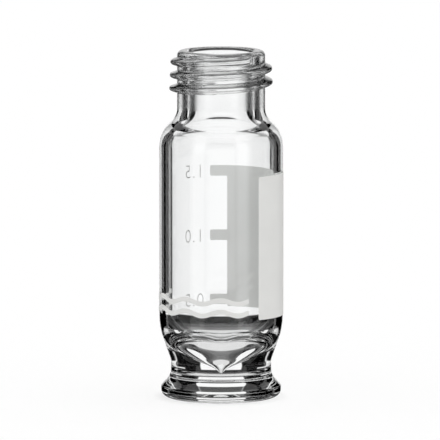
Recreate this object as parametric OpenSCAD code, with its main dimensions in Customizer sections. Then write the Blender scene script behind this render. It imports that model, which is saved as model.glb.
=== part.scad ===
// Screw-neck glass sample vial with a conical inner bottom, a small well at the cone's
// middle, and a solid, waisted foot.
// The glass is one moulded piece. White enamel is fired on its outside: a writing patch
// with a three-step volume scale, and a pair of wavy lines.
// The origin is the centre of the foot's underside, +Z points out of the mouth, and -Y is
// the front. Angles round the vial are counted from +X towards +Y.

/* [Overall] */
// Height from the foot to the sealing rim
vial_h = 32.6; // [28:0.1:40]
// Outside diameter of the straight body
body_d = 11.6; // [10.8:0.1:13]
// Thickness of the body wall
body_wall = 0.8; // [0.6:0.05:1.1]

/* [Foot] */
// Widest diameter of the foot
foot_d = 11.26; // [10.4:0.02:11.6]
// Height at which the foot's upright side would meet its slope
foot_h = 1.09; // [1:0.01:1.8]
// Slope of the foot's upper side, from level
foot_slope = 46.5; // [35:0.5:55]
// Diameter of the flat underside
sole_d = 9.96; // [8:0.02:10.2]
// Height to which the sole curves up at the foot's edge
sole_rise = 0.35; // [0.1:0.05:0.5]
// Rounding from the underside into that curve
sole_r = 2; // [0.5:0.1:3]
// Rounding of the foot's lower edge
foot_edge_r = 0.95; // [0.3:0.05:1]
// Rounding of the foot's widest part
foot_top_r = 0.4; // [0.2:0.05:1]

/* [Waist] */
// Diameter of the narrowest part between foot and body
waist_d = 9.42; // [8.6:0.02:10]
// Height between the two slopes that meet at the waist
waist_h = 1.48; // [1:0.02:2]
// Rounding from the foot into the waist
waist_low_r = 1.6; // [0.4:0.1:2]
// Rounding from the waist into the taper
waist_high_r = 1.5; // [0.5:0.1:3]
// Slope of the taper up to the body, from upright
taper_slope = 20; // [15:1:30]
// Rounding from the taper into the straight body
taper_r = 7; // [2:0.5:8]

/* [Shoulder] */
// Fall of the shoulder, from level
shoulder_slope = 40; // [10:1:45]
// Rounding from the body into the shoulder
shoulder_r = 3; // [1.4:0.1:4]
// Rounding from the shoulder into the neck
neck_root_r = 1.65; // [0.1:0.05:2]
// Fall of the shoulder's inner side, from level
inner_slope = 32; // [20:1:40]
// Thickness of the wall from the neck's root square to that side
shoulder_wall = 1.08; // [0.7:0.02:1.3]
// Rounding from the inner side into the straight wall
inner_shoulder_r = 1.9; // [0.5:0.1:3]
// Rounding from the inner side into the bore
bore_end_r = 2.3; // [0.5:0.1:3]

/* [Neck] */
// Outside diameter of the neck under the thread
neck_d = 8.24; // [8:0.02:8.8]
// Height of the neck, from the shoulder's slope to the rim
neck_h = 6.19; // [5.5:0.01:8]
// Diameter of the bore through the neck
mouth_d = 5.9; // [4.8:0.05:6.2]
// Rounding of the rim's outer edge
rim_edge_r = 0.45; // [0.1:0.05:0.5]
// Rounding of the rim's inner edge
mouth_edge_r = 0.4; // [0.05:0.05:0.5]

/* [Thread] */
// Rise of the thread in one turn
thread_pitch = 1.24; // [1.1:0.01:1.4]
// Number of turns, with both run-outs
thread_turns = 2.6; // [2:0.05:3]
// Diameter over the ridge where it starts
thread_d = 9.45; // [9.2:0.05:9.8]
// How much wider the ridge's diameter is where it ends
thread_growth = 0.3; // [0:0.05:0.5]
// Width of the ridge, up the neck
ridge_w = 0.74; // [0.6:0.02:0.9]
// Depth from the rim to the middle of the ridge at its start
thread_drop = 0.6; // [0.36:0.02:1]
// Angle at which the ridge starts under the rim
thread_start = 314; // [0:1:359]
// Angle over which the ridge rises out of the neck at either end
thread_fade = 22; // [15:1:60]

/* [Inside bottom] */
// Thickness of the glass under the tip of the well
floor_t = 2.36; // [1.5:0.02:3]
// Slope of the small well in the middle, from level
well_slope = 54; // [45:1:60]
// Diameter at which the well's slope would meet the cone's
well_d = 2.34; // [1:0.02:3.5]
// Rounding of that edge
well_r = 3; // [0.5:0.25:4]
// Slope of the inner cone round the well, from level
cone_slope = 29; // [24:1:44]
// Rounding from the inner cone into the straight wall
cone_r = 3.8; // [1:0.1:5]

/* [Writing patch] */
// Thickness of the fired enamel
enamel_t = 0.03; // [0.02:0.01:0.06]
// Height of the patch's lower edge above the foot's underside
patch_z = 7.82; // [7.5:0.02:9]
// Height of the patch
patch_h = 13.4; // [12:0.05:15]
// Angle of the patch's front edge
patch_start = 307; // [290:1:320]
// Width of the patch, along the glass
patch_w = 13.84; // [11:0.02:15]
// Height of each mark of the volume scale
mark_h = 1; // [0.6:0.01:1.5]
// How far each mark reaches past the patch, along the glass
mark_l = 1.8; // [1:0.05:2.5]
// Distance between one mark and the next
mark_step = 6.1; // [4:0.05:6.2]
// Number of marks, counted down from the patch's upper edge
marks = 3; // [1:1:3]

/* [Wavy lines] */
// Height of the lower line's middle above the foot's underside
wave_z = 8.53; // [8:0.01:10]
// Distance between the two lines' middles
wave_gap = 1.1; // [0.8:0.05:1.6]
// Width of each line
wave_w = 0.46; // [0.25:0.01:0.6]
// Height of a crest above the line's middle
wave_rise = 0.19; // [0.1:0.01:0.4]
// Distance from one crest to the next, along the glass
wave_length = 3.46; // [2.5:0.02:4.5]
// Distance from the lines' end to the patch's front edge
wave_clear = 1.08; // [0.5:0.02:2]
// Length of the lines, along the glass
wave_run = 13.8; // [10:0.1:15]
// Distance from the lines' end back to their first crest
wave_lead = 2.75; // [0:0.05:4]

/* [Hidden] */
$fn = 120;

// Largest turn from one face of a rounded edge to the next, in degrees
ARC_STEP = 7.5;
// Turn from one ring of the thread to the next, in degrees
RIDGE_STEP = 10;
// Faces across the ridge's rounded back
RIDGE_FACES = 7;
// How far the ridge's root lies inside the neck
RIDGE_SINK = 0.1;
// Depth of the root itself
RIDGE_ROOT = 0.25;
// Turn from one joint of a wavy line to the next, in degrees
WAVE_STEP = 2;

body_r = body_d / 2;
inner_r = body_r - body_wall;
neck_r = neck_d / 2;
mouth_r = mouth_d / 2;
foot_r = foot_d / 2;
waist_r = waist_d / 2;

// Heights of the outside's corners, before they are rounded
waist_low_z = foot_h + (foot_r - waist_r) * tan(foot_slope);
waist_high_z = waist_low_z + waist_h;
taper_z = waist_high_z + (body_r - waist_r) / tan(taper_slope);
neck_root_z = vial_h - neck_h;
shoulder_z = neck_root_z - (body_r - neck_r) * tan(shoulder_slope);

// Heights of the inside's corners, before they are rounded
bore_end_z = neck_root_z - shoulder_wall / cos(inner_slope) + (neck_r - mouth_r) * tan(inner_slope);
inner_shoulder_z = bore_end_z - (inner_r - mouth_r) * tan(inner_slope);
well_z = floor_t + well_d / 2 * tan(well_slope);
cone_z = well_z + (inner_r - well_d / 2) * tan(cone_slope);

// The glass in section, as [radius, height, rounding], from the foot's middle round to the well's tip
GLASS_CORNERS = [
    [0, 0, 0],
    [sole_d / 2, 0, sole_r],
    [foot_r, sole_rise, foot_edge_r],
    [foot_r, foot_h, foot_top_r],
    [waist_r, waist_low_z, waist_low_r],
    [waist_r, waist_high_z, waist_high_r],
    [body_r, taper_z, taper_r],
    [body_r, shoulder_z, shoulder_r],
    [neck_r, neck_root_z, neck_root_r],
    [neck_r, vial_h, rim_edge_r],
    [mouth_r, vial_h, mouth_edge_r],
    [mouth_r, bore_end_z, bore_end_r],
    [inner_r, inner_shoulder_z, inner_shoulder_r],
    [inner_r, cone_z, cone_r],
    [well_d / 2, well_z, well_r],
    [0, floor_t, 0],
];

// The corner's place, without its rounding
function place(corner) = [corner[0], corner[1]];

// Half the angle that the outline makes at corner i
function half_angle(corners, i) =
    let (
        n = len(corners),
        here = place(corners[i]),
        back = place(corners[(i + n - 1) % n]) - here,
        on = place(corners[(i + 1) % n]) - here
    )
    acos(back * on / norm(back) / norm(on)) / 2;

// How far from corner i its rounding would start
function reach(corners, i) =
    corners[i][2] == 0 ? 0 : corners[i][2] / tan(half_angle(corners, i));

// The share of its rounding that the side between corners i and j leaves room for
function room(corners, i, j) =
    let (wanted = reach(corners, i) + reach(corners, j))
    wanted == 0 ? 1 : min(1, norm(place(corners[i]) - place(corners[j])) / wanted);

// The points that round corner i by an arc which meets both sides
function corner_arc(corners, i) =
    let (
        n = len(corners),
        before = (i + n - 1) % n,
        after = (i + 1) % n,
        here = place(corners[i]),
        half = half_angle(corners, i),
        radius = corners[i][2] * min(room(corners, before, i), room(corners, i, after)),
        to_back = (place(corners[before]) - here) / norm(place(corners[before]) - here),
        to_on = (place(corners[after]) - here) / norm(place(corners[after]) - here),
        centre = here + (to_back + to_on) / norm(to_back + to_on) * radius / sin(half),
        start = here + to_back * radius / tan(half) - centre,
        from = atan2(start[1], start[0]),
        turn = (to_back[0] * to_on[1] - to_back[1] * to_on[0] > 0 ? -1 : 1) * (180 - 2 * half),
        steps = ceil(abs(turn) / ARC_STEP)
    )
    [for (k = [0 : steps]) centre + radius * [cos(from + turn * k / steps), sin(from + turn * k / steps)]];

// The outline with every corner rounded
function rounded(corners) = [
    for (i = [0 : len(corners) - 1])
        each (corners[i][2] == 0 ? [place(corners[i])] : corner_arc(corners, i))
];

// A point at an angle round the vial
function around(radius, angle, height) = [radius * cos(angle), radius * sin(angle), height];

// The faces of a bar whose sections are rings of the same number of points, closed at both ends
function bar_faces(rings, points) = [
    [for (k = [0 : points - 1]) k],
    for (i = [0 : rings - 2], k = [0 : points - 1])
        each [
            [i * points + k, (i + 1) * points + k, i * points + (k + 1) % points],
            [i * points + (k + 1) % points, (i + 1) * points + k, (i + 1) * points + (k + 1) % points]
        ],
    [for (k = [points - 1 : -1 : 0]) (rings - 1) * points + k]
];

// The ridge in section, as [share of its rise, share of its half width]: a half ellipse
RIDGE_BACK = [
    for (k = [0 : RIDGE_FACES]) [sin(180 * k / RIDGE_FACES), -cos(180 * k / RIDGE_FACES)]
];
ridge_steps = ceil(360 * thread_turns / RIDGE_STEP);
ridge_root_r = neck_r - RIDGE_SINK;

// The ridge's section at one step down the thread
function ridge_ring(i) =
    let (
        share = i / ridge_steps,
        angle = thread_start - 360 * thread_turns * share,
        height = vial_h - thread_drop - thread_pitch * thread_turns * share,
        to_end = min(share, 1 - share) * 360 * thread_turns,
        rise = ((thread_d + thread_growth * share) / 2 - ridge_root_r) * sin(90 * min(1, to_end / thread_fade))
    )
    [
        around(ridge_root_r - RIDGE_ROOT, angle, height - ridge_w / 2),
        for (p = RIDGE_BACK) around(ridge_root_r + rise * p[0], angle, height + ridge_w / 2 * p[1]),
        around(ridge_root_r - RIDGE_ROOT, angle, height + ridge_w / 2)
    ];

// The raised thread, as one bar that winds down the neck with a right-hand turn
module thread_ridge() {
    rings = [for (i = [0 : ridge_steps]) ridge_ring(i)];
    polyhedron(
        points = [for (ring = rings) each ring],
        faces = bar_faces(len(rings), len(rings[0])),
        convexity = 6
    );
}

// The moulded glass, with its bore, inner cone, well and solid foot
module glass_vial() {
    color([0.86, 0.93, 0.94, 0.45]) {
        rotate_extrude(convexity = 6)
            polygon(rounded(GLASS_CORNERS));
        thread_ridge();
    }
}

// The angle that a length along the glass takes up round the vial
function wrapped(length) = length / body_r * 180 / PI;

// A field of enamel that runs from the patch's front edge round the body
module enamel_field(z, height, width) {
    rotate([0, 0, patch_start])
        rotate_extrude(angle = wrapped(width), convexity = 2)
            translate([body_r, z])
                square([enamel_t, height]);
}

// The writing patch, with the scale's marks on its back edge
module writing_patch() {
    color([0.93, 0.93, 0.92]) {
        enamel_field(patch_z, patch_h, patch_w);
        for (i = [0 : marks - 1])
            enamel_field(patch_z + patch_h - mark_h - i * mark_step, mark_h, patch_w + mark_l);
    }
}

wave_sweep = wrapped(wave_run);
wave_steps = ceil(wave_sweep / WAVE_STEP);
wave_end = patch_start - wrapped(wave_clear);

// A wavy line's section at one step back from its end
function wave_ring(i, z) =
    let (
        back = wave_sweep * i / wave_steps,
        angle = wave_end - back,
        middle = z + wave_rise * cos(360 * (back - wrapped(wave_lead)) / wrapped(wave_length))
    )
    [
        around(body_r, angle, middle - wave_w / 2),
        around(body_r + enamel_t, angle, middle - wave_w / 2),
        around(body_r + enamel_t, angle, middle + wave_w / 2),
        around(body_r, angle, middle + wave_w / 2)
    ];

// The pair of wavy lines below the front
module wave_lines() {
    color([0.93, 0.93, 0.92])
        for (z = [wave_z, wave_z + wave_gap]) {
            rings = [for (i = [0 : wave_steps]) wave_ring(i, z)];
            polyhedron(
                points = [for (ring = rings) each ring],
                faces = bar_faces(len(rings), len(rings[0])),
                convexity = 4
            );
        }
}

glass_vial();
writing_patch();
wave_lines();
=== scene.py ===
"""Looks of the glass sample vial: its moulded glass, fired enamel, floor, light and camera."""

import logging
import math
from dataclasses import dataclass
from enum import Enum
from functools import partial
from typing import Any

import bmesh
import bpy
from mathutils import Matrix, Vector


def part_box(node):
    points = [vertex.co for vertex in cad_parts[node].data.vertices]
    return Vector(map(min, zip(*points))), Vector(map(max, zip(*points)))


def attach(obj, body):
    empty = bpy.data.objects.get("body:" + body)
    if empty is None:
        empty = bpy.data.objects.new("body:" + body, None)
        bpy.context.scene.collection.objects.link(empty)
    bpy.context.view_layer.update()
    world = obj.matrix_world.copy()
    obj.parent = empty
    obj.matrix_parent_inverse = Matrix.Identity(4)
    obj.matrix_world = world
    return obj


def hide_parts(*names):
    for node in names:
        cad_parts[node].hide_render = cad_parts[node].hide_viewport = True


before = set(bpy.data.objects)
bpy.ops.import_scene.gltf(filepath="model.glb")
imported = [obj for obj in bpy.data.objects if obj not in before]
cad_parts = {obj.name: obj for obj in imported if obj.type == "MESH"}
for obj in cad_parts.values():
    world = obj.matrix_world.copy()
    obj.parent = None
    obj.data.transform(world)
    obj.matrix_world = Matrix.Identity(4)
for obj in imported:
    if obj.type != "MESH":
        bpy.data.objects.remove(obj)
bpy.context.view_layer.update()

MM = 0.001
SEAM = 0.0001  # Millimetres: points that are nearer to each other than this are one
ROOT = "root"
MATH = "ShaderNodeMath"
# The Mix node's colour sockets, by number because its other sockets have the same names
COLOUR_A, COLOUR_B, COLOUR_MIX = 6, 7, 2
log = logging.getLogger("vial")

Corner = tuple[float, float, float]
Point = tuple[float, float]
Tree = bpy.types.NodeTree
Sizes = dict[str, tuple[str, Any]]
Inputs = dict[Any, Any] | list[Any]


class Slot(Enum):
    """The record's material slots."""

    GLASS = "clear_glass"
    ENAMEL = "white_enamel"


def linear(hex_colour: str) -> tuple[float, float, float, float]:
    """Turns an sRGB hex colour into a linear one, by the curve that the sRGB standard gives.

    Args:
        hex_colour: The colour as "#RRGGBB".

    Returns:
        The colour as linear red, green, blue and an alpha of 1.
    """
    parts = [int(hex_colour[i : i + 2], 16) / 255 for i in (1, 3, 5)]
    red, green, blue = (p / 12.92 if p <= 0.04045 else ((p + 0.055) / 1.055) ** 2.4 for p in parts)
    return red, green, blue, 1.0


def add(tree: Tree, kind: str, inputs: Inputs | None = None, **settings: Any) -> bpy.types.Node:
    """Adds a node to a tree with its settings and links.

    Args:
        tree: The node tree.
        kind: The node's type.
        inputs: What each input takes, by name, number or order: a socket, a node's first output or a value.
        settings: The node's own properties.

    Returns:
        The new node.
    """
    node = tree.nodes.new(kind)
    for name, value in settings.items():
        setattr(node, name, value)
    given = inputs.items() if isinstance(inputs, dict) else enumerate(inputs or [])
    for key, value in given:
        if isinstance(value, bpy.types.Node):
            value = value.outputs[0]
        if isinstance(value, bpy.types.NodeSocket):
            tree.links.new(value, node.inputs[key])
        else:
            node.inputs[key].default_value = value
    return node


def new_material(name: str) -> tuple[bpy.types.Material, Tree, bpy.types.Node]:
    """Makes an empty node material.

    Args:
        name: The material's name.

    Returns:
        The material, its node tree and its output node.
    """
    material = bpy.data.materials.new(name)
    material.use_nodes = True
    material.node_tree.nodes.clear()
    return material, material.node_tree, add(material.node_tree, "ShaderNodeOutputMaterial")


# Finishes


@dataclass(frozen=True)
class BorosilicateGlass:
    """Clear borosilicate glass: drawn tube, fire polished, with a thread pressed into its neck."""

    # The polished walls bend what lies behind them without blurring it, and the colour is all but none
    tint: str = "#FFFFFF"
    deep_tint: str = "#FDFEFE"
    streak_mm: float = 4.0
    streak_detail: float = 2.0
    ior: float = 1.5
    # The mould leaves the neck faintly satin, which softens what shows through the thread
    thread_low_mm: float = 27.0
    thread_high_mm: float = 27.3
    wall_roughness: float = 0.0
    thread_roughness: float = 0.15

    def material(self) -> bpy.types.Material:
        """Builds the material.

        Returns:
            Principled glass whose tint drifts a little along the drawn tube.
        """
        material, tree, out = new_material("borosilicate_glass_fire_polished")
        node = partial(add, tree)
        place = node("ShaderNodeTexCoord").outputs["Object"]
        streaks = {"Vector": place, "Scale": 1 / (self.streak_mm * MM), "Detail": self.streak_detail}
        drift = node("ShaderNodeTexNoise", streaks)
        tints = {"Factor": drift, COLOUR_A: linear(self.tint), COLOUR_B: linear(self.deep_tint)}
        tint = node("ShaderNodeMix", tints, data_type="RGBA").outputs[COLOUR_MIX]
        height = node("ShaderNodeSeparateXYZ", [place]).outputs["Z"]
        heights = [height, self.thread_low_mm * MM, self.thread_high_mm * MM]
        satin = node("ShaderNodeMapRange", [*heights, self.wall_roughness, self.thread_roughness])
        glass = node(
            "ShaderNodeBsdfPrincipled",
            {"Base Color": tint, "Roughness": satin, "IOR": self.ior, "Transmission Weight": 1.0},
        )
        tree.links.new(glass.outputs[0], out.inputs["Surface"])
        return material


@dataclass(frozen=True)
class FiredEnamel:
    """White ceramic enamel, screen printed and fired: a satin, slightly grainy film that takes a pencil."""

    # A soft even white, a little uneven where the print is thinner
    bright: str = "#F2F2F0"
    dull: str = "#EAEAE8"
    cloud_mm: float = 2.5
    cloud_detail: float = 3.0
    # Grains of the ceramic, which are finer than this and are drawn so coarse only to show
    grain_mm: float = 0.12
    grain_detail: float = 2.0
    grain_rise_mm: float = 0.004
    grain_strength: float = 0.25
    roughness: float = 0.42
    # The film is so thin that some light comes through it from behind
    translucence: float = 0.22

    def material(self) -> bpy.types.Material:
        """Builds the material.

        Returns:
            Satin white with faint clouds of uneven print and a fine grain.
        """
        material, tree, out = new_material("white_ceramic_enamel_fired")
        node = partial(add, tree)
        place = node("ShaderNodeTexCoord").outputs["Object"]
        clouds = {"Vector": place, "Scale": 1 / (self.cloud_mm * MM), "Detail": self.cloud_detail}
        cloud = node("ShaderNodeTexNoise", clouds)
        tones = {"Factor": cloud, COLOUR_A: linear(self.bright), COLOUR_B: linear(self.dull)}
        tone = node("ShaderNodeMix", tones, data_type="RGBA").outputs[COLOUR_MIX]
        grains = {"Vector": place, "Scale": 1 / (self.grain_mm * MM), "Detail": self.grain_detail}
        grain = node("ShaderNodeTexNoise", grains)
        relief = {"Height": grain, "Strength": self.grain_strength, "Distance": self.grain_rise_mm * MM}
        bump = node("ShaderNodeBump", relief)
        looks = {"Base Color": tone, "Roughness": self.roughness, "Normal": bump}
        enamel = node("ShaderNodeBsdfPrincipled", looks)
        glow = node("ShaderNodeBsdfTranslucent", {"Color": tone})
        film = node("ShaderNodeMixShader", [self.translucence, enamel, glow])
        tree.links.new(film.outputs[0], out.inputs["Surface"])
        return material


# Geometry Nodes


def new_tree(name: str, sizes: Sizes) -> tuple[Tree, bpy.types.Node, bpy.types.Node]:
    """Makes a geometry tree with named inputs.

    Args:
        name: The tree's name.
        sizes: For each input's name, its socket type and value.

    Returns:
        The tree, its input node and its output node.
    """
    tree = bpy.data.node_groups.new(name, "GeometryNodeTree")
    tree.interface.new_socket("Geometry", in_out="INPUT", socket_type="NodeSocketGeometry")
    tree.interface.new_socket("Geometry", in_out="OUTPUT", socket_type="NodeSocketGeometry")
    for key, (kind, _) in sizes.items():
        tree.interface.new_socket(key, in_out="INPUT", socket_type=kind)
    return tree, add(tree, "NodeGroupInput"), add(tree, "NodeGroupOutput")


def grown(name: str, tree: Tree, sizes: Sizes, base: bpy.types.Mesh) -> bpy.types.Mesh:
    """Runs a geometry tree on a mesh and keeps what it makes as a plain mesh.

    Args:
        name: The new mesh's name.
        tree: The geometry tree.
        sizes: For each input's name, its socket type and value.
        base: The mesh that the tree starts from.

    Returns:
        The finished mesh.
    """
    seed = bpy.data.objects.new(name + "_seed", base)
    bpy.context.scene.collection.objects.link(seed)
    modifier = seed.modifiers.new("grow", "NODES")
    modifier.node_group = tree
    sockets = {item.name: item.identifier for item in tree.interface.items_tree if item.in_out == "INPUT"}
    for key, (_, value) in sizes.items():
        modifier[sockets[key]] = value
    view = bpy.context.evaluated_depsgraph_get()
    made = bpy.data.meshes.new_from_object(seed.evaluated_get(view), depsgraph=view)
    made.name = name
    seed.modifiers.remove(modifier)
    bpy.data.objects.remove(seed)
    # The tree's result keeps the empty slot of the mesh that it started from
    finish = [m for m in made.materials if m][0]
    made.materials.clear()
    made.materials.append(finish)
    made.polygons.foreach_set("material_index", [0] * len(made.polygons))
    return made


def show(name: str, mesh: bpy.types.Mesh, slot: Slot, *stands_for: str) -> bpy.types.Object:
    """Makes a piece of the vial from a finished mesh.

    Args:
        name: The piece's name.
        mesh: Its mesh, in the vial's own frame.
        slot: The record's material slot for the piece. It is not used.
        stands_for: The solids that it replaces.

    Returns:
        The piece, which rides on the vial.
    """
    piece = bpy.data.objects.new(name, mesh)
    bpy.context.scene.collection.objects.link(piece)
    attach(piece, ROOT)
    if stands_for:
        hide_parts(*stands_for)
    log.info("%s: %d faces", name, len(mesh.polygons))
    return piece


# The glass


@dataclass
class Thread:
    """The raised right-hand thread round the neck, in millimetres and degrees."""

    pitch: float = 1.24
    turns: float = 2.6
    top_d: float = 9.45
    growth: float = 0.3
    width: float = 0.86
    drop: float = 0.6
    start: float = 314.0
    fade: float = 22.0
    # Powers that shape the ridge: how full its crest is, and how hollow its flanks run out
    crown: float = 3.0
    flank: float = 1.3


@dataclass
class MouldedGlass:
    """The vial's glass: one lathed wall with a helical ridge, in millimetres and degrees."""

    height: float
    body_d: float
    thread: Thread
    body_wall: float = 0.8
    foot_d: float = 11.26
    foot_h: float = 1.09
    foot_slope: float = 46.5
    sole_d: float = 9.96
    sole_rise: float = 0.35
    sole_r: float = 2.0
    foot_edge_r: float = 0.95
    foot_top_r: float = 0.4
    waist_d: float = 9.42
    waist_h: float = 1.48
    waist_low_r: float = 1.6
    waist_high_r: float = 1.5
    taper_slope: float = 20.0
    taper_r: float = 7.0
    shoulder_slope: float = 40.0
    shoulder_r: float = 3.0
    neck_root_r: float = 1.65
    inner_slope: float = 32.0
    shoulder_wall: float = 1.08
    inner_shoulder_r: float = 1.9
    bore_end_r: float = 2.3
    neck_d: float = 8.24
    neck_h: float = 6.19
    mouth_d: float = 5.9
    rim_edge_r: float = 0.45
    mouth_edge_r: float = 0.4
    floor_t: float = 2.36
    tip_r: float = 0.05
    well_slope: float = 54.0
    well_d: float = 2.34
    well_r: float = 3.0
    cone_slope: float = 29.0
    cone_r: float = 3.8
    # The longest steps along the section, which are fine where the thread stands on the neck
    arc_step: float = 6.0
    line_step: float = 0.7
    thread_step: float = 0.05
    segments: int = 256
    # How far off the bore the neck's outer face starts, for the fine steps and for the thread
    fine_margin: float = 0.1
    thread_margin: float = 0.5

    def corners(self) -> list[Corner]:
        """Gives the wall's section before rounding.

        Returns:
            Each corner as radius, height and rounding, from under the foot round to the cone's tip.
        """
        body_r, foot_r, waist_r = self.body_d / 2, self.foot_d / 2, self.waist_d / 2
        neck_r, mouth_r, inner_r = self.neck_d / 2, self.mouth_d / 2, self.body_d / 2 - self.body_wall
        shoulder_slope, inner_slope = math.radians(self.shoulder_slope), math.radians(self.inner_slope)
        waist_low = self.foot_h + (foot_r - waist_r) * math.tan(math.radians(self.foot_slope))
        waist_high = waist_low + self.waist_h
        taper = waist_high + (body_r - waist_r) / math.tan(math.radians(self.taper_slope))
        neck_root = self.height - self.neck_h
        shoulder = neck_root - (body_r - neck_r) * math.tan(shoulder_slope)
        root_wall = self.shoulder_wall / math.cos(inner_slope)
        bore_end = neck_root - root_wall + (neck_r - mouth_r) * math.tan(inner_slope)
        inner_shoulder = bore_end - (inner_r - mouth_r) * math.tan(inner_slope)
        well = self.floor_t + self.well_d / 2 * math.tan(math.radians(self.well_slope))
        cone = well + (inner_r - self.well_d / 2) * math.tan(math.radians(self.cone_slope))
        return [
            (0, 0, 0),
            (self.sole_d / 2, 0, self.sole_r),
            (foot_r, self.sole_rise, self.foot_edge_r),
            (foot_r, self.foot_h, self.foot_top_r),
            (waist_r, waist_low, self.waist_low_r),
            (waist_r, waist_high, self.waist_high_r),
            (body_r, taper, self.taper_r),
            (body_r, shoulder, self.shoulder_r),
            (neck_r, neck_root, self.neck_root_r),
            (neck_r, self.height, self.rim_edge_r),
            (mouth_r, self.height, self.mouth_edge_r),
            (mouth_r, bore_end, self.bore_end_r),
            (inner_r, inner_shoulder, self.inner_shoulder_r),
            (inner_r, cone, self.cone_r),
            (self.well_d / 2, well, self.well_r),
            (self.tip_r, self.floor_t + self.tip_r, 0),
            (0, self.floor_t, 0),
        ]

    def arcs(self) -> list[list[Vector]]:
        """Rounds the corners.

        Returns:
            For each corner the points of its arc, or the corner itself where it stays sharp.
        """
        corners = self.corners()
        places = [Vector((c[0], c[1])) for c in corners]
        arcs: list[list[Vector]] = []
        for i, (_, _, radius) in enumerate(corners):
            here = places[i]
            if radius == 0:
                arcs.append([here])
                continue
            back, on = places[i - 1] - here, places[(i + 1) % len(places)] - here
            half = back.angle(on) / 2
            radius *= min(1.0, *(self.room(corners, places, i + k) for k in (-1, 0)))
            centre = here + (back.normalized() + on.normalized()).normalized() * radius / math.sin(half)
            start = here + back.normalized() * radius / math.tan(half) - centre
            turn = math.pi - 2 * half
            side = -1 if back.cross(on) > 0 else 1
            steps = max(2, math.ceil(math.degrees(turn) / self.arc_step))
            turns = [Matrix.Rotation(side * turn * k / steps, 2) for k in range(steps + 1)]
            arcs.append([centre + t @ start for t in turns])
        return arcs

    def section(self) -> list[Point]:
        """Joins the corners' arcs by straight stretches in short steps.

        Returns:
            The wall's outline, fine enough to lathe.
        """
        arcs = self.arcs()
        neck_root = self.height - self.neck_h
        outline: list[Point] = [tuple(p) for p in arcs[0]]
        for arc, following in zip(arcs, arcs[1:]):
            low, high = arc[-1], following[0]
            outside = min(low.x, high.x) > self.mouth_d / 2 + self.fine_margin
            on_neck = min(low.y, high.y) > neck_root - self.fine_margin
            step = self.thread_step if outside and on_neck else self.line_step
            count = math.ceil((high - low).length / step)
            outline += [tuple(low.lerp(high, k / count)) for k in range(1, count)]
            outline += [tuple(p) for p in following]
        return outline

    @staticmethod
    def room(corners: list[Corner], places: list[Vector], i: int) -> float:
        """Tells how much of its rounding a side leaves room for.

        Args:
            corners: The corners with their roundings.
            places: The corners' places.
            i: The corner that the side starts from.

        Returns:
            A share, which is 1 where both roundings fit.
        """
        n = len(places)
        wanted = 0.0
        for j in (i % n, (i + 1) % n):
            if corners[j][2]:
                half = (places[j - 1] - places[j]).angle(places[(j + 1) % n] - places[j]) / 2
                wanted += corners[j][2] / math.tan(half)
        length = (places[(i + 1) % n] - places[i % n]).length
        return min(1.0, length / wanted) if wanted else 1.0

    def tree(self, material: bpy.types.Material) -> Tree:
        """Builds the tree that lathes the section and raises the thread on its neck.

        Args:
            material: The glass's material.

        Returns:
            The geometry tree. Its inputs are in metres and radians.
        """
        tree, inp, out = new_tree("lathed_glass", self.sizes())
        size = inp.outputs
        node = partial(add, tree)

        # Each row of the grid is a place along the section, and each column a turn round the axis
        points = node("GeometryNodeAttributeDomainSize", [size["Geometry"]]).outputs["Point Count"]
        columns = node(MATH, [size["Segments"], 1.0], operation="ADD")
        grid = node("GeometryNodeMeshGrid", {"Vertices X": points, "Vertices Y": columns})
        index = node("GeometryNodeInputIndex")
        row = node(MATH, [node(MATH, [index, 0.5], operation="ADD"), columns], operation="DIVIDE")
        row = node(MATH, [row], operation="FLOOR")
        column = node(MATH, [index, node(MATH, [row, columns], operation="MULTIPLY")], operation="SUBTRACT")
        angle = node(MATH, [column, size["Segments"]], operation="DIVIDE")
        angle = node(MATH, [angle, -math.tau], operation="MULTIPLY")
        here = node("GeometryNodeInputPosition")
        place = node("GeometryNodeSampleIndex", [size["Geometry"], here, row], data_type="FLOAT_VECTOR")
        wall = node("ShaderNodeSeparateXYZ", [place]).outputs
        room = node("GeometryNodeInputNamedAttribute", {"Name": "thread_room"})
        threaded = node("GeometryNodeSampleIndex", [size["Geometry"], room, row])

        # Turns down the thread at this angle, at the ridge nearest to this height
        down = node(MATH, [size["Thread top"], wall["Z"]], operation="SUBTRACT")
        down = node(MATH, [down, size["Pitch"]], operation="DIVIDE")
        share = node(MATH, [size["Thread start"], angle], operation="SUBTRACT")
        share = node(MATH, [node(MATH, [share, math.tau], operation="DIVIDE")], operation="FRACT")
        whole = node(MATH, [node(MATH, [down, share], operation="SUBTRACT")], operation="ROUND")
        turns = node(MATH, [share, whole], operation="ADD")

        # How high the ridge's round crown stands here, across it and along it
        off = node(MATH, [down, turns], operation="SUBTRACT")
        off = node(MATH, [node(MATH, [off, size["Pitch"]], operation="MULTIPLY")], operation="ABSOLUTE")
        half_ridge = node(MATH, [size["Ridge width"], 0.5], operation="MULTIPLY")
        across = node(MATH, [off, half_ridge], operation="DIVIDE", use_clamp=True)
        bump = node(MATH, [1.0, node(MATH, [across, size["Crown"]], operation="POWER")], operation="SUBTRACT")
        bump = node(MATH, [bump, size["Flank"]], operation="POWER")
        to_foot = node(MATH, [size["Turns"], turns], operation="SUBTRACT")
        to_end = node(MATH, [turns, to_foot], operation="MINIMUM")
        faded = node(MATH, [to_end, math.tau], operation="MULTIPLY")
        faded = node(MATH, [faded, size["Fade"]], operation="DIVIDE", use_clamp=True)
        faded = node(MATH, [node(MATH, [faded, math.pi / 2], operation="MULTIPLY")], operation="SINE")
        rise = node(MATH, [turns, size["Turns"]], operation="DIVIDE")
        rise = node(MATH, [rise, size["Growth"], size["Rise"]], operation="MULTIPLY_ADD")
        lift = node(MATH, [node(MATH, [bump, faded], operation="MULTIPLY"), rise], operation="MULTIPLY")
        lift = node(MATH, [lift, threaded], operation="MULTIPLY")
        radius = node(MATH, [wall["X"], lift], operation="ADD")

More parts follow.
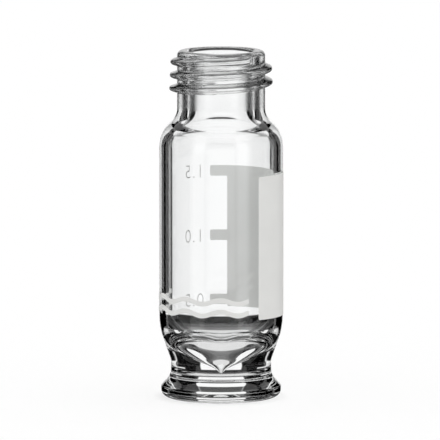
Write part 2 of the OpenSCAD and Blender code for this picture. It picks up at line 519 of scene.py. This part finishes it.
        # Round the axis, closed at the seam and the poles
        ahead = node(MATH, [radius, node(MATH, [angle], operation="COSINE")], operation="MULTIPLY")
        aside = node(MATH, [radius, node(MATH, [angle], operation="SINE")], operation="MULTIPLY")
        turned = node("ShaderNodeCombineXYZ", [ahead, aside, wall["Z"]])
        lathed = node("GeometryNodeSetPosition", {"Geometry": grid, "Position": turned})
        closed = node("GeometryNodeMergeByDistance", {"Geometry": lathed, "Distance": size["Seam"]})
        real = node("GeometryNodeRealizeInstances", [node("GeometryNodeSetShadeSmooth", [closed])])
        dressed = node("GeometryNodeSetMaterial", {"Geometry": real, "Material": material})
        tree.links.new(dressed.outputs[0], out.inputs[0])
        return tree

    def sizes(self) -> Sizes:
        """Gives the tree's inputs.

        Returns:
            For each input's name, its socket type and value, in metres and radians.
        """
        thread = self.thread
        real = "NodeSocketFloat"
        return {
            "Segments": ("NodeSocketInt", self.segments),
            "Thread top": (real, (self.height - thread.drop) * MM),
            "Thread start": (real, math.radians(thread.start)),
            "Pitch": (real, thread.pitch * MM),
            "Turns": (real, thread.turns),
            "Ridge width": (real, thread.width * MM),
            "Rise": (real, (thread.top_d - self.neck_d) / 2 * MM),
            "Growth": (real, thread.growth / 2 * MM),
            "Fade": (real, math.radians(thread.fade)),
            "Crown": (real, thread.crown),
            "Flank": (real, thread.flank),
            "Seam": (real, SEAM * MM),
        }

    def build(self, material: bpy.types.Material) -> bpy.types.Object:
        """Builds the glass.

        Args:
            material: The glass's material.

        Returns:
            The piece.
        """
        outline = self.section()
        line = bpy.data.meshes.new("glass_section")
        edges = [(i, i + 1) for i in range(len(outline) - 1)]
        line.from_pydata([(r * MM, 0, z * MM) for r, z in outline], edges, [])
        room = line.attributes.new("thread_room", "FLOAT", "POINT")
        least_r, least_z = self.mouth_d / 2 + self.thread_margin, self.height - self.neck_h
        room.data.foreach_set("value", [float(r > least_r and z > least_z) for r, z in outline])
        mesh = grown("glass_vial_body", self.tree(material), self.sizes(), line)
        return show("glass_body", mesh, Slot.GLASS, "glass_vial")


# The enamel


@dataclass
class EnamelField:
    """One printed field of enamel, or a row of like ones up the glass, in millimetres and degrees."""

    start: float
    foot: float
    width: float
    height: float
    corner: float = 0.0
    copies: int = 1
    step: float = 0.0
    wave_rise: float = 0.0
    wave_length: float = 1.0
    wave_lead: float = 0.0
    # How fine its grid is
    column_w: float = 0.06
    row_h: float = 0.35
    least_columns: int = 12
    least_rows: int = 3

    def sizes(self, glass_r: float, sink: float, proud: float) -> Sizes:
        """Gives the tree's inputs.

        Args:
            glass_r: The glass's outer radius.
            sink: How far the enamel reaches into the glass, or below 0 how far it is off it.
            proud: How far it stands out of the glass.

        Returns:
            For each input's name, its socket type and value, in metres and radians.
        """
        real = "NodeSocketFloat"
        return {
            "Inner radius": (real, (glass_r - sink) * MM),
            "Glass radius": (real, glass_r * MM),
            "Thickness": (real, (sink + proud) * MM),
            "Start": (real, math.radians(self.start)),
            "Foot": (real, self.foot * MM),
            "Width": (real, self.width * MM),
            "Height": (real, self.height * MM),
            "Corner": (real, self.corner * MM),
            "Copies": ("NodeSocketInt", self.copies),
            "Step": (real, self.step * MM),
            "Wave rise": (real, self.wave_rise * MM),
            "Wave length": (real, self.wave_length * MM),
            "Wave lead": (real, self.wave_lead * MM),
            "Columns": ("NodeSocketInt", max(self.least_columns, round(self.width / self.column_w))),
            "Rows": ("NodeSocketInt", max(self.least_rows, round(self.height / self.row_h))),
            "Seam": (real, SEAM * MM),
        }


@dataclass
class FiredPrint:
    """The enamel on the glass: the writing patch with its scale, the wavy lines and the numerals."""

    glass_r: float
    # The film starts just off the glass, so that no two faces lie in one place
    sink: float = -0.0002
    proud: float = 0.028
    patch_z: float = 7.82
    patch_h: float = 13.4
    patch_start: float = 307.0
    patch_w: float = 13.84
    mark_h: float = 1.0
    mark_l: float = 1.8
    mark_step: float = 6.1
    marks: int = 3
    corner: float = 0.14
    wave_z: float = 8.53
    wave_gap: float = 1.1
    wave_w: float = 0.46
    wave_rise: float = 0.19
    wave_length: float = 3.46
    wave_clear: float = 1.08
    wave_run: float = 13.8
    wave_lead: float = 2.75
    wave_corner: float = 0.05
    waves: int = 2
    numeral_h: float = 1.28
    numeral_gap: float = 0.62
    numeral_texts: tuple[str, ...] = ("0.5", "1.0", "1.5")
    # A numeral's share of its type size, and how its strokes are set
    numeral_caps: float = 0.7
    numeral_spacing: float = 1.12
    numeral_thinning: float = 0.03
    numeral_curve: int = 4
    weld: float = 0.0005

    def degrees(self, length: float) -> float:
        """Gives the angle that a length along the glass takes up round the vial."""
        return math.degrees(length / self.glass_r)

    def tree(self, material: bpy.types.Material, sizes: Sizes) -> Tree:
        """Builds the tree that wraps a field of enamel round the glass.

        Args:
            material: The enamel's material.
            sizes: For each input's name, its socket type and value.

        Returns:
            The geometry tree. Its inputs are in metres and radians.
        """
        tree, inp, out = new_tree("enamel_field", sizes)
        size = inp.outputs
        node = partial(add, tree)

        # A flat grid of unit size, whose ends are rounded by drawing in its edges
        cells = {"Size X": 1.0, "Size Y": 1.0, "Vertices X": size["Columns"], "Vertices Y": size["Rows"]}
        grid = node("GeometryNodeMeshGrid", cells)
        at = node("ShaderNodeSeparateXYZ", [node("GeometryNodeInputPosition")]).outputs
        along = node(MATH, [node(MATH, [at["X"], 0.5], operation="ADD"), size["Width"]], operation="MULTIPLY")
        to_far_side = node(MATH, [size["Width"], along], operation="SUBTRACT")
        to_side = node(MATH, [along, to_far_side], operation="MINIMUM")
        short = node(MATH, [size["Corner"], to_side], operation="SUBTRACT")
        short = node(MATH, [short, 0.0], operation="MAXIMUM")
        square = node(MATH, [size["Corner"], 2.0], operation="POWER")
        square = node(MATH, [square, node(MATH, [short, 2.0], operation="POWER")], operation="SUBTRACT")
        square = node(MATH, [square, 0.0], operation="MAXIMUM")
        inset = node(MATH, [size["Corner"], node(MATH, [square], operation="SQRT")], operation="SUBTRACT")
        tall = node(MATH, [inset, -2.0, size["Height"]], operation="MULTIPLY_ADD")

        # How high each place is, with the wave's swing
        swing = node(MATH, [along, size["Wave lead"]], operation="SUBTRACT")
        swing = node(MATH, [swing, size["Wave length"]], operation="DIVIDE")
        swing = node(MATH, [node(MATH, [swing, math.tau], operation="MULTIPLY")], operation="COSINE")
        swing = node(MATH, [swing, size["Wave rise"]], operation="MULTIPLY")
        up = node(MATH, [node(MATH, [at["Y"], 0.5], operation="ADD"), tall, inset], operation="MULTIPLY_ADD")
        up = node(MATH, [up, size["Foot"]], operation="ADD")
        up = node(MATH, [up, swing], operation="ADD")

        # Wrapped round the glass and given its thickness
        angle = node(MATH, [along, size["Glass radius"]], operation="DIVIDE")
        angle = node(MATH, [angle, size["Start"]], operation="ADD")
        inner_r = size["Inner radius"]
        ahead = node(MATH, [inner_r, node(MATH, [angle], operation="COSINE")], operation="MULTIPLY")
        aside = node(MATH, [inner_r, node(MATH, [angle], operation="SINE")], operation="MULTIPLY")
        bent = node("ShaderNodeCombineXYZ", [ahead, aside, up])
        film = node("GeometryNodeSetPosition", {"Geometry": grid, "Position": bent})
        thick = {"Mesh": film, "Offset Scale": size["Thickness"], "Individual": False}
        raised = node("GeometryNodeExtrudeMesh", thick)
        back = node("GeometryNodeFlipFaces", [film])
        shell = node("GeometryNodeJoinGeometry", [raised])
        tree.links.new(back.outputs[0], shell.inputs[0])
        closed = node("GeometryNodeMergeByDistance", {"Geometry": shell, "Distance": size["Seam"]})
        step = node("ShaderNodeCombineXYZ", {"Z": size["Step"]})
        places = node("GeometryNodeMeshLine", {"Count": size["Copies"], "Offset": step})
        copies = node("GeometryNodeInstanceOnPoints", {"Points": places, "Instance": closed})
        real = node("GeometryNodeRealizeInstances", [copies])
        dressed = node("GeometryNodeSetMaterial", {"Geometry": real, "Material": material})
        tree.links.new(dressed.outputs[0], out.inputs[0])
        return tree

    def field_mesh(self, name: str, tree: Tree, field: EnamelField) -> bpy.types.Mesh:
        """Prints one field.

        Args:
            name: The mesh's name.
            tree: The tree that wraps it round the glass.
            field: Its sizes.

        Returns:
            A closed film.
        """
        blank = bpy.data.meshes.new(name + "_blank")
        return grown(name, tree, field.sizes(self.glass_r, self.sink, self.proud), blank)

    def flat_numeral(self, text: str) -> bpy.types.Mesh:
        """Sets one numeral flat, in millimetres.

        Args:
            text: The numeral.

        Returns:
            Its mesh, which is as thick as the enamel.
        """
        curve = bpy.data.curves.new("numeral", "FONT")
        curve.body = text
        curve.size = self.numeral_h / self.numeral_caps
        curve.space_character = self.numeral_spacing
        curve.offset = -self.numeral_thinning
        curve.extrude = (self.sink + self.proud) / 2
        curve.resolution_u = self.numeral_curve
        flat = bpy.data.objects.new("numeral", curve)
        bpy.context.scene.collection.objects.link(flat)
        view = bpy.context.evaluated_depsgraph_get()
        mesh = bpy.data.meshes.new_from_object(flat.evaluated_get(view), depsgraph=view)
        bpy.data.objects.remove(flat)
        return mesh

    def numerals(self, material: bpy.types.Material) -> bpy.types.Mesh:
        """Prints the scale's numerals beside its marks, from the lowest up.

        Args:
            material: The enamel's material.

        Returns:
            The numerals, wrapped round the glass.
        """
        verts: list[Vector] = []
        faces: list[list[int]] = []
        mark_end = self.patch_start + self.degrees(self.patch_w + self.mark_l + self.numeral_gap)
        middle_r = self.glass_r + (self.proud - self.sink) / 2
        for i, text in enumerate(self.numeral_texts):
            mesh = self.flat_numeral(text)
            top = self.patch_z + self.patch_h - (self.marks - 1 - i) * self.mark_step
            foot = top - self.mark_h / 2 - self.numeral_h / 2
            first = len(verts)
            for v in mesh.vertices:
                angle, radius = math.radians(mark_end + self.degrees(v.co.x)), middle_r + v.co.z
                verts.append(Vector((radius * math.cos(angle), radius * math.sin(angle), foot + v.co.y)) * MM)
            faces += [[first + k for k in p.vertices] for p in mesh.polygons]
        joined = bpy.data.meshes.new("scale_numerals")
        joined.from_pydata(verts, [], faces)
        joined.materials.append(material)
        shape = bmesh.new()
        shape.from_mesh(joined)
        bmesh.ops.remove_doubles(shape, verts=shape.verts, dist=self.weld * MM)
        bmesh.ops.recalc_face_normals(shape, faces=shape.faces)
        shape.to_mesh(joined)
        shape.free()
        return joined

    def build(self, material: bpy.types.Material) -> list[bpy.types.Object]:
        """Builds every printed piece.

        Args:
            material: The enamel's material.

        Returns:
            The writing patch, the wavy lines and the numerals.
        """
        patch = EnamelField(self.patch_start, self.patch_z, self.patch_w, self.patch_h, self.corner)
        marks = EnamelField(
            start=self.patch_start + self.degrees(self.patch_w - 2 * self.corner),
            foot=self.patch_z + self.patch_h - self.mark_h - (self.marks - 1) * self.mark_step,
            width=self.mark_l + 2 * self.corner,
            height=self.mark_h,
            corner=self.corner,
            copies=self.marks,
            step=self.mark_step,
        )
        waves = EnamelField(
            start=self.patch_start - self.degrees(self.wave_clear + self.wave_run),
            foot=self.wave_z - self.wave_w / 2,
            width=self.wave_run,
            height=self.wave_w,
            corner=self.wave_corner,
            copies=self.waves,
            step=self.wave_gap,
            wave_rise=self.wave_rise,
            wave_length=self.wave_length,
            wave_lead=self.wave_run - self.wave_lead,
        )
        tree = self.tree(material, patch.sizes(self.glass_r, self.sink, self.proud))
        films = [self.field_mesh("patch", tree, patch), self.field_mesh("marks", tree, marks)]
        return [
            show("patch_print", joined_meshes("patch_film", films), Slot.ENAMEL, "writing_patch"),
            show("wave_print", self.field_mesh("wave_film", tree, waves), Slot.ENAMEL, "wave_lines"),
            show("numeral_print", self.numerals(material), Slot.ENAMEL),
        ]


def joined_meshes(name: str, parts: list[bpy.types.Mesh]) -> bpy.types.Mesh:
    """Puts several meshes of one finish into one.

    Args:
        name: The new mesh's name.
        parts: The meshes to join.

    Returns:
        The joined mesh, with the first part's material.
    """
    verts: list[Vector] = []
    faces: list[list[int]] = []
    for part in parts:
        first = len(verts)
        verts += [v.co.copy() for v in part.vertices]
        faces += [[first + k for k in p.vertices] for p in part.polygons]
    mesh = bpy.data.meshes.new(name)
    mesh.from_pydata(verts, [], faces)
    mesh.materials.append(parts[0].materials[0])
    return mesh


# The studio


@dataclass(frozen=True)
class Panel:
    """A soft-edged sheet of the set, on both sides alike: a tone and its edges in degrees.

    Near and far are turned from straight behind the vial, and low and high are above the level.
    """

    tone: str
    near: float
    far: float
    low: float
    high: float
    blur: float = 1.2

    def cover(self, tree: Tree, turn: bpy.types.Node, rise: bpy.types.Node) -> bpy.types.Node:
        """Adds the nodes that tell how much of a direction the panel covers.

        Args:
            tree: The world's node tree.
            turn: The direction's turn from straight behind.
            rise: The direction's height above the level.

        Returns:
            The node that gives the share.
        """
        node = partial(add, tree)
        share = None
        for place, edge, inward in (
            (turn, self.near, 1),
            (turn, self.far, -1),
            (rise, self.low, 1),
            (rise, self.high, -1),
        ):
            ends = [place, edge - inward * self.blur / 2, edge + inward * self.blur / 2]
            step = node("ShaderNodeMapRange", ends, interpolation_type="SMOOTHSTEP")
            share = node(MATH, [share, step], operation="MULTIPLY") if share else step
        return share


@dataclass
class Studio:
    """A white sweep behind the vial between dark flags, with white all round and a pale floor.

    The set is painted by direction, and only the glass shows it, with painted shade on the floor round the
    vial and painted reflections that only mirroring sees. The eye and the matt pieces see plain white.
    """

    white: str = "#FFFFFF"
    level: float = 1.0
    floor_r: float = 0.6
    # Each panel is its tone, its near and far edges, its low and high edges and its blur
    set_and_shade_panels: tuple[Panel, ...] = (
        # The floor as the glass sees it, with painted shade round the vial: light right under it, and darker
        # the farther it runs back between the flags
        Panel("#E0E0E0", -9.0, 190.0, -95.0, -48.0, 4.0),
        Panel("#808080", -2.0, 50.0, -51.0, -43.0, 3.0),
        Panel("#6C6C6C", -2.0, 50.0, -45.0, -35.0, 3.0),
        Panel("#505050", -2.0, 50.0, -37.0, -27.0, 3.0),
        Panel("#101010", -2.0, 36.0, -29.0, -15.6, 2.0),
        Panel("#404040", 34.0, 125.0, -50.0, -17.0, 2.0),
        # The flags on both sides of the white sweep, wide at the vial's own height and narrower below it
        Panel("#030303", 16.7, 54.0, -13.2, 28.0),
        Panel("#030303", 16.7, 36.0, -24.0, -12.5),
        # The top edge of the sweep, and the gaps between the white sheets at the sides and in front
        Panel("#404040", -2.0, 16.7, 18.0, 31.0, 3.0),
        Panel("#404040", 106.0, 118.0, -30.0, 30.0, 8.0),
        Panel("#404040", 151.0, 163.0, -30.0, 30.0, 8.0),
    )
    painted_reflection_panels: tuple[Panel, ...] = (
        # Painted reflections, which only mirrored rays see and which light nothing: a dim room on the eye's
        # side, with a white sheet in front and a softbox at each shoulder
        Panel("#060606", 62.0, 190.0, -36.0, 48.0, 4.0),
        Panel("#F0F0F0", 150.0, 190.0, -9.0, 12.0, 3.0),
        Panel("#FFFFFF", 120.0, 148.0, -22.0, 60.0, 4.0),
    )
    # The world counts one bounce too many, so above this at least one was a mirroring
    bounces_not_bent: float = 1.5
    # Above this a ray has met something matt, which sees plain white
    bounces_off_matt: float = 0.5

    def world(self) -> None:
        """Lights the vial, and paints the set that its glass bends and mirrors."""
        world = bpy.data.worlds.new("studio")
        bpy.context.scene.world = world
        world.use_nodes = True
        tree = world.node_tree
        tree.nodes.clear()
        node = partial(add, tree)
        way = node("ShaderNodeSeparateXYZ", [node("ShaderNodeTexCoord").outputs["Generated"]]).outputs
        turn = node(MATH, [node(MATH, [way["X"], way["Y"]], operation="ARCTAN2")], operation="ABSOLUTE")
        turn = node(MATH, [turn], operation="DEGREES")
        rise = node(MATH, [node(MATH, [way["Z"]], operation="ARCSINE")], operation="DEGREES")
        rays = node("ShaderNodeLightPath").outputs
        not_bent = node(MATH, [rays["Ray Depth"], rays["Transmission Depth"]], operation="SUBTRACT")
        mirrored = node(MATH, [not_bent, self.bounces_not_bent], operation="GREATER_THAN")
        colour: Any = linear(self.white)
        # The set as the glass sees it, with the floor's painted shade
        for panel in self.set_and_shade_panels:
            share = panel.cover(tree, turn, rise)
            mixed = {"Factor": share, COLOUR_A: colour, COLOUR_B: linear(panel.tone)}
            colour = node("ShaderNodeMix", mixed, data_type="RGBA").outputs[COLOUR_MIX]
        # Painted reflections over it, for mirrored rays alone
        for panel in self.painted_reflection_panels:
            share = node(MATH, [panel.cover(tree, turn, rise), mirrored], operation="MULTIPLY")
            mixed = {"Factor": share, COLOUR_A: colour, COLOUR_B: linear(panel.tone)}
            colour = node("ShaderNodeMix", mixed, data_type="RGBA").outputs[COLOUR_MIX]
        off_matt = node(MATH, [rays["Diffuse Depth"], self.bounces_off_matt], operation="GREATER_THAN")
        by_glass = node(MATH, [rays["Is Transmission Ray"], rays["Is Glossy Ray"]], operation="MAXIMUM")
        by_glass = node(MATH, [by_glass, off_matt], operation="SUBTRACT", use_clamp=True)
        plain = node("ShaderNodeBackground", [linear(self.white), self.level])
        painted = node("ShaderNodeBackground", [colour, self.level])
        shown = node("ShaderNodeMixShader", [by_glass, plain, painted])
        node("ShaderNodeOutputWorld", {"Surface": shown})

    def floor(self) -> bpy.types.Object:
        """Lays the pale floor.

        Returns:
            The floor, which the glass doesn't show, because the set paints the floor for it, with its shade
            painted in.
        """
        # White card, matt, so that it shows no more than a soft shadow
        material, tree, out = new_material("white_card")
        card = add(tree, "ShaderNodeBsdfDiffuse", {"Color": linear(self.white)})
        tree.links.new(card.outputs[0], out.inputs["Surface"])
        r = self.floor_r
        mesh = bpy.data.meshes.new("floor")
        mesh.from_pydata([(-r, -r, 0), (r, -r, 0), (r, r, 0), (-r, r, 0)], [], [(0, 1, 2, 3)])
        mesh.materials.append(material)
        floor = bpy.data.objects.new("floor", mesh)
        bpy.context.scene.collection.objects.link(floor)
        floor.visible_transmission = False
        floor.visible_glossy = False
        return floor


@dataclass
class Camera:
    """The camera in front of the vial and a little above it, in millimetres."""

    distance: float = 800.0
    height: float = 113.0
    lens: float = 700.0
    sensor: float = 36.0
    aim_x: float = -0.103
    aim_z: float = 16.65
    clip_start: float = 50.0
    clip_end: float = 20000.0

    def build(self) -> None:
        """Places the camera."""
        data = bpy.data.cameras.new("camera")
        data.lens = self.lens
        data.sensor_width = self.sensor
        data.clip_start = self.clip_start * MM
        data.clip_end = self.clip_end * MM
        camera = bpy.data.objects.new("camera", data)
        bpy.context.scene.collection.objects.link(camera)
        aim = Vector((self.aim_x, 0, self.aim_z)) * MM
        back = math.sqrt(self.distance**2 - (self.height - self.aim_z) ** 2)
        camera.location = Vector((self.aim_x, -back, self.height)) * MM
        camera.rotation_euler = (aim - camera.location).to_track_quat("-Z", "Y").to_euler()
        bpy.context.scene.camera = camera


def main() -> None:
    """Builds the vial, its stage, light and camera."""
    logging.basicConfig(level=logging.INFO, format="%(name)s: %(message)s")
    low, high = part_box("glass_vial")
    body_d = (high.x - low.x) / MM
    MouldedGlass(height=high.z / MM, body_d=body_d, thread=Thread()).build(BorosilicateGlass().material())
    FiredPrint(glass_r=body_d / 2).build(FiredEnamel().material())
    studio = Studio()
    studio.world()
    studio.floor()
    Camera().build()
    bpy.context.scene.view_settings.view_transform = "Standard"
    # Unblurred, so that the light that crosses the wall reaches the enamel behind it
    bpy.context.scene.cycles.blur_glossy = 0.0


if __name__ == "__main__":
    main()
